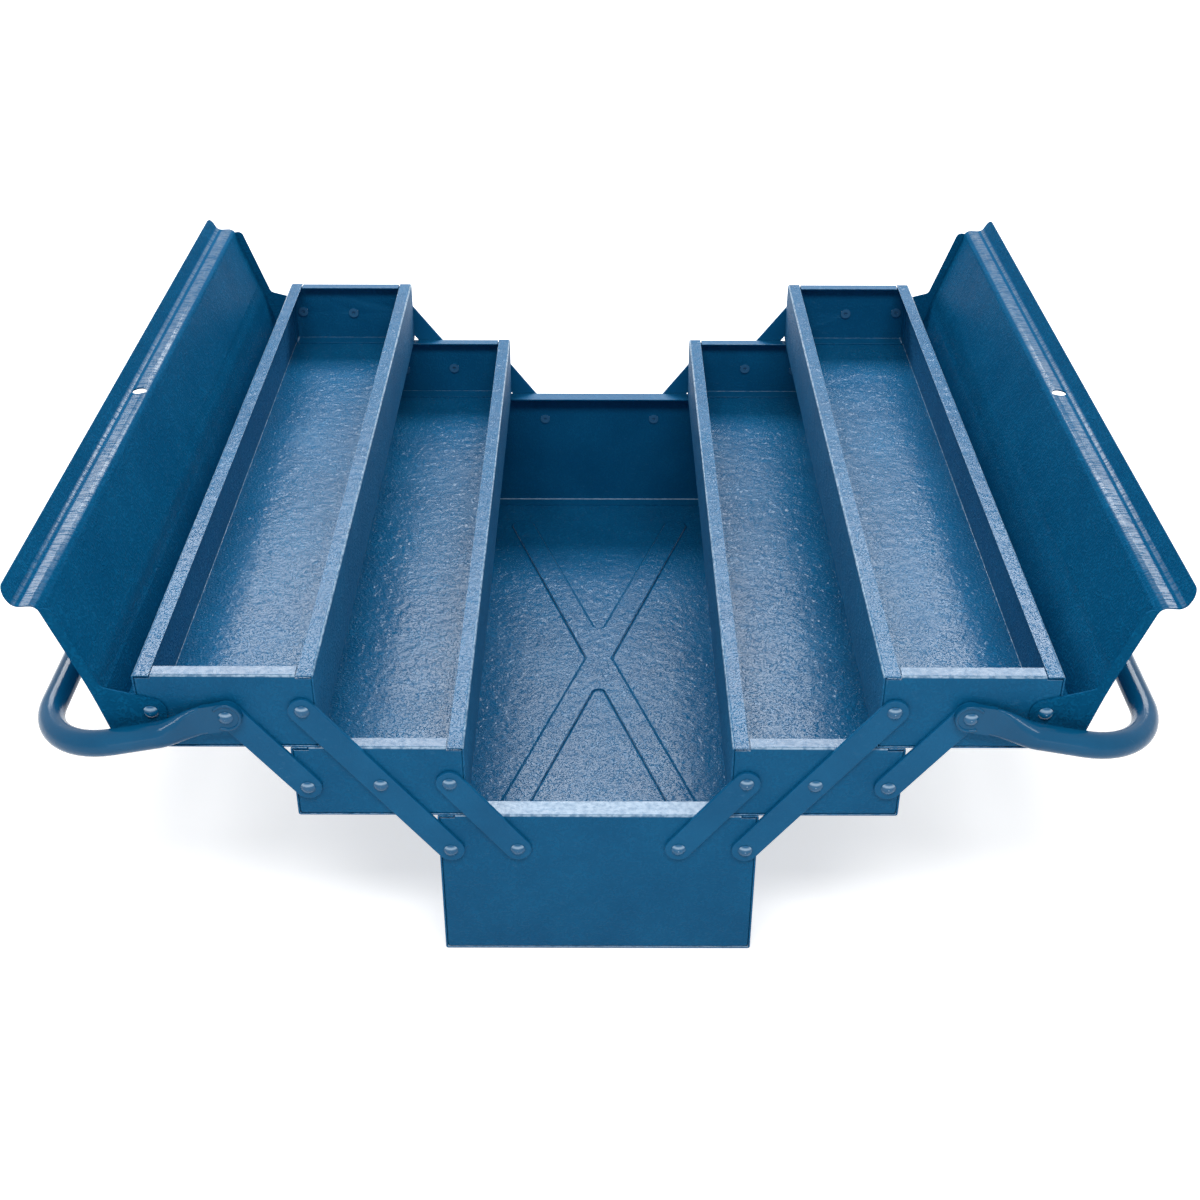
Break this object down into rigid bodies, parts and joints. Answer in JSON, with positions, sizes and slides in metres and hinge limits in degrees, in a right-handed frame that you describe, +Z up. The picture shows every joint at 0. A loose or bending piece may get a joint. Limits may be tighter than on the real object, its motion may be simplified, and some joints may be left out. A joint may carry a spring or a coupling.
{
  "type": "cantilever toolbox",
  "caption": "Blue sheet-metal cantilever toolbox standing open: a deep base, stacked swing-out trays on pivoting arms, hinged lids and bent tube handles.",
  "frame": {"origin": "middle of the underside of the base, on the surface the box stands on", "axes": "+Z up, +Y along the length of the box towards its rear end, +X across it towards the right-hand trays"},
  "size_m": [0.6478, 0.5984, 0.2621],
  "materials": {
    "wrinkle_paint": "satin blue wrinkle paint",
    "smooth_paint": "satin blue paint"
  },
  "bodies": {
    "base": {"base_trough": "wrinkle_paint", "base_front_panel": "wrinkle_paint", "base_rear_panel": "wrinkle_paint", "base_rivets": "smooth_paint"},
    "left_long_arms": {"left_front_long_arm": "smooth_paint", "left_rear_long_arm": "smooth_paint"},
    "left_lower_short_arms": {"left_front_lower_short_arm": "smooth_paint", "left_rear_lower_short_arm": "smooth_paint"},
    "left_upper_short_arms": {"left_front_upper_short_arm": "smooth_paint", "left_rear_upper_short_arm": "smooth_paint"},
    "left_lower_tray": {"left_lower_tray_trough": "wrinkle_paint", "left_lower_tray_front_panel": "wrinkle_paint", "left_lower_tray_rear_panel": "wrinkle_paint", "left_lower_tray_rivets": "smooth_paint"},
    "left_upper_tray": {"left_upper_tray_trough": "wrinkle_paint", "left_upper_tray_front_panel": "wrinkle_paint", "left_upper_tray_rear_panel": "wrinkle_paint", "left_upper_tray_rivets": "smooth_paint"},
    "left_lid": {"left_lid": "wrinkle_paint"},
    "left_handle": {"left_handle": "smooth_paint"},
    "right_long_arms": {"right_front_long_arm": "smooth_paint", "right_rear_long_arm": "smooth_paint"},
    "right_lower_short_arms": {"right_front_lower_short_arm": "smooth_paint", "right_rear_lower_short_arm": "smooth_paint"},
    "right_upper_short_arms": {"right_front_upper_short_arm": "smooth_paint", "right_rear_upper_short_arm": "smooth_paint"},
    "right_lower_tray": {"right_lower_tray_trough": "wrinkle_paint", "right_lower_tray_front_panel": "wrinkle_paint", "right_lower_tray_rear_panel": "wrinkle_paint", "right_lower_tray_rivets": "smooth_paint"},
    "right_upper_tray": {"right_upper_tray_trough": "wrinkle_paint", "right_upper_tray_front_panel": "wrinkle_paint", "right_upper_tray_rear_panel": "wrinkle_paint", "right_upper_tray_rivets": "smooth_paint"},
    "right_lid": {"right_lid": "wrinkle_paint"},
    "right_handle": {"right_handle": "smooth_paint"}
  },
  "joints": [
    {"name": "left_arm_swing", "type": "hinge", "parent": "base", "child": "left_long_arms", "pos_m": [-0.08649, 0, 0.0813], "axis": [0, 1, 0], "range_deg": [0, 75.4]},
    {"name": "left_lower_tray_level", "type": "hinge", "parent": "left_long_arms", "child": "left_lower_tray", "pos_m": [-0.12428, 0, 0.1302], "axis": [0, 1, 0], "range_deg": [-75.4, 0]},
    {"name": "left_upper_tray_level", "type": "hinge", "parent": "left_long_arms", "child": "left_upper_tray", "pos_m": [-0.16458, 0, 0.18234], "axis": [0, 1, 0], "range_deg": [-75.4, 0]},
    {"name": "left_lower_short_arm_swing", "type": "hinge", "parent": "base", "child": "left_lower_short_arms", "pos_m": [-0.04719, 0, 0.0822], "axis": [0, 1, 0], "range_deg": [0, 75.4]},
    {"name": "left_upper_short_arm_swing", "type": "hinge", "parent": "left_lower_tray", "child": "left_upper_short_arms", "pos_m": [-0.16609, 0, 0.1286], "axis": [0, 1, 0], "range_deg": [0, 75.4]},
    {"name": "left_handle_swing", "type": "hinge", "parent": "left_upper_tray", "child": "left_handle", "pos_m": [-0.20638, 0, 0.18074], "axis": [0, 1, 0], "range_deg": [0, 123.1]},
    {"name": "left_lid_swing", "type": "hinge", "parent": "left_upper_tray", "child": "left_lid", "pos_m": [-0.24848, 0, 0.18174], "axis": [0, 1, 0], "range_deg": [0, 100.4]},
    {"name": "right_arm_swing", "type": "hinge", "parent": "base", "child": "right_long_arms", "pos_m": [0.08649, 0, 0.0813], "axis": [0, -1, 0], "range_deg": [0, 75.4]},
    {"name": "right_lower_tray_level", "type": "hinge", "parent": "right_long_arms", "child": "right_lower_tray", "pos_m": [0.12428, 0, 0.1302], "axis": [0, -1, 0], "range_deg": [-75.4, 0]},
    {"name": "right_upper_tray_level", "type": "hinge", "parent": "right_long_arms", "child": "right_upper_tray", "pos_m": [0.16458, 0, 0.18234], "axis": [0, -1, 0], "range_deg": [-75.4, 0]},
    {"name": "right_lower_short_arm_swing", "type": "hinge", "parent": "base", "child": "right_lower_short_arms", "pos_m": [0.04719, 0, 0.0822], "axis": [0, -1, 0], "range_deg": [0, 75.4]},
    {"name": "right_upper_short_arm_swing", "type": "hinge", "parent": "right_lower_tray", "child": "right_upper_short_arms", "pos_m": [0.16609, 0, 0.1286], "axis": [0, -1, 0], "range_deg": [0, 75.4]},
    {"name": "right_handle_swing", "type": "hinge", "parent": "right_upper_tray", "child": "right_handle", "pos_m": [0.20638, 0, 0.18074], "axis": [0, -1, 0], "range_deg": [0, 123.1]},
    {"name": "right_lid_swing", "type": "hinge", "parent": "right_upper_tray", "child": "right_lid", "pos_m": [0.24848, 0, 0.18174], "axis": [0, -1, 0], "range_deg": [0, 100.4]}
  ],
  "couplings": [
    {"joint": "left_lower_tray_level", "follows": "left_arm_swing", "ratio": -1},
    {"joint": "left_upper_tray_level", "follows": "left_arm_swing", "ratio": -1},
    {"joint": "left_lower_short_arm_swing", "follows": "left_arm_swing", "ratio": 1},
    {"joint": "left_upper_short_arm_swing", "follows": "left_arm_swing", "ratio": 1},
    {"joint": "left_lid_swing", "follows": "left_handle_swing", "ratio": 0.8155},
    {"joint": "right_lower_tray_level", "follows": "right_arm_swing", "ratio": -1},
    {"joint": "right_upper_tray_level", "follows": "right_arm_swing", "ratio": -1},
    {"joint": "right_lower_short_arm_swing", "follows": "right_arm_swing", "ratio": 1},
    {"joint": "right_upper_short_arm_swing", "follows": "right_arm_swing", "ratio": 1},
    {"joint": "right_lid_swing", "follows": "right_handle_swing", "ratio": 0.8155}
  ]
}
